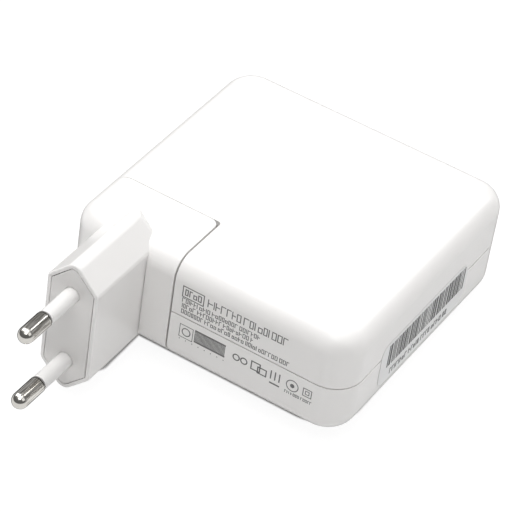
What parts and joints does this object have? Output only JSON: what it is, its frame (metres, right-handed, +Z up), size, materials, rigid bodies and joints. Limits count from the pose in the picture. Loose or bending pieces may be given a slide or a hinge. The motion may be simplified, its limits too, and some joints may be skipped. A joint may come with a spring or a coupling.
{
  "type": "laptop power adapter",
  "caption": "Square white mains power adapter with rounded edges, a two-pin corner plug head that slides off, and a small output socket in the opposite face.",
  "frame": {"origin": "centre of the brick's flat bottom face", "axes": "+Z up out of the brick's large top face; +Y from the face with the plug and the rating marks to the face with the output socket, so the plug pins point along -Y; +X along the marked face, away from the plug head"},
  "size_m": [0.0741, 0.1122, 0.0353],
  "materials": {
    "housing_plastic": "glossy white moulded polycarbonate",
    "inner_plastic": "satin white moulded plastic",
    "sleeve_plastic": "satin white insulating sleeve",
    "pin_metal": "polished nickel plating",
    "stud_metal": "turned steel",
    "port_metal": "drawn stainless steel",
    "contact_metal": "stamped brass",
    "label_film": "smooth printed film",
    "board_laminate": "green solder mask over glass laminate",
    "insulating_paper": "pressed insulating sheet",
    "sheet_aluminium": "plain rolled sheet",
    "ferrite": "ground dark ferrite",
    "enamelled_copper": "enamelled copper wire",
    "winding_tape": "yellow polyester tape",
    "black_epoxy": "black moulding compound",
    "capacitor_sleeve": "shrunk black sleeve",
    "blue_lacquer": "blue dipped lacquer",
    "wire_insulation": "soft wire insulation",
    "gap_filler": "soft silicone pad"
  },
  "bodies": {
    "brick": {"lower_shell": "housing_plastic", "upper_shell": "housing_plastic", "inlet_block": "inner_plastic", "inlet_pin_live": "pin_metal", "inlet_pin_neutral": "pin_metal", "latch_stud": "stud_metal", "usb_c_shell": "port_metal", "rating_label": "label_film", "main_board": "board_laminate", "usb_board": "board_laminate", "insulation_sheet": "insulating_paper", "heat_spreader": "sheet_aluminium", "primary_heat_sink": "sheet_aluminium", "secondary_heat_sink": "sheet_aluminium", "output_capacitor_1": "sheet_aluminium", "output_capacitor_2": "sheet_aluminium", "transformer_core_lower": "ferrite", "transformer_core_upper": "ferrite", "choke_core": "ferrite", "output_inductor": "ferrite", "filter_coil": "ferrite", "choke_winding_1": "enamelled_copper", "choke_winding_2": "enamelled_copper", "transformer_winding": "winding_tape", "x_capacitor": "winding_tape", "usb_c_tongue": "black_epoxy", "fuse": "black_epoxy", "bridge_rectifier": "black_epoxy", "optocoupler": "black_epoxy", "controller_ic": "black_epoxy", "primary_mosfet": "black_epoxy", "sync_rectifier": "black_epoxy", "transformer_bobbin": "black_epoxy", "bulk_capacitor_1": "capacitor_sleeve", "bulk_capacitor_2": "capacitor_sleeve", "y_capacitor": "blue_lacquer", "inlet_wire_live": "wire_insulation", "inlet_wire_neutral": "wire_insulation", "thermal_pad": "gap_filler"},
    "plug_head": {"head_shell": "housing_plastic", "head_end_cap": "housing_plastic", "head_rear_cover": "inner_plastic", "plug_pin_upper": "pin_metal", "plug_pin_lower": "pin_metal", "pin_sleeve_upper": "sleeve_plastic", "pin_sleeve_lower": "sleeve_plastic", "socket_contact_upper": "contact_metal", "socket_contact_lower": "contact_metal", "contact_strip_upper": "contact_metal", "contact_strip_lower": "contact_metal"}
  },
  "joints": [
    {"name": "plug_head_slide", "type": "slide", "parent": "brick", "child": "plug_head", "axis": [0, -1, 0], "range_m": [0, 0.025]}
  ]
}
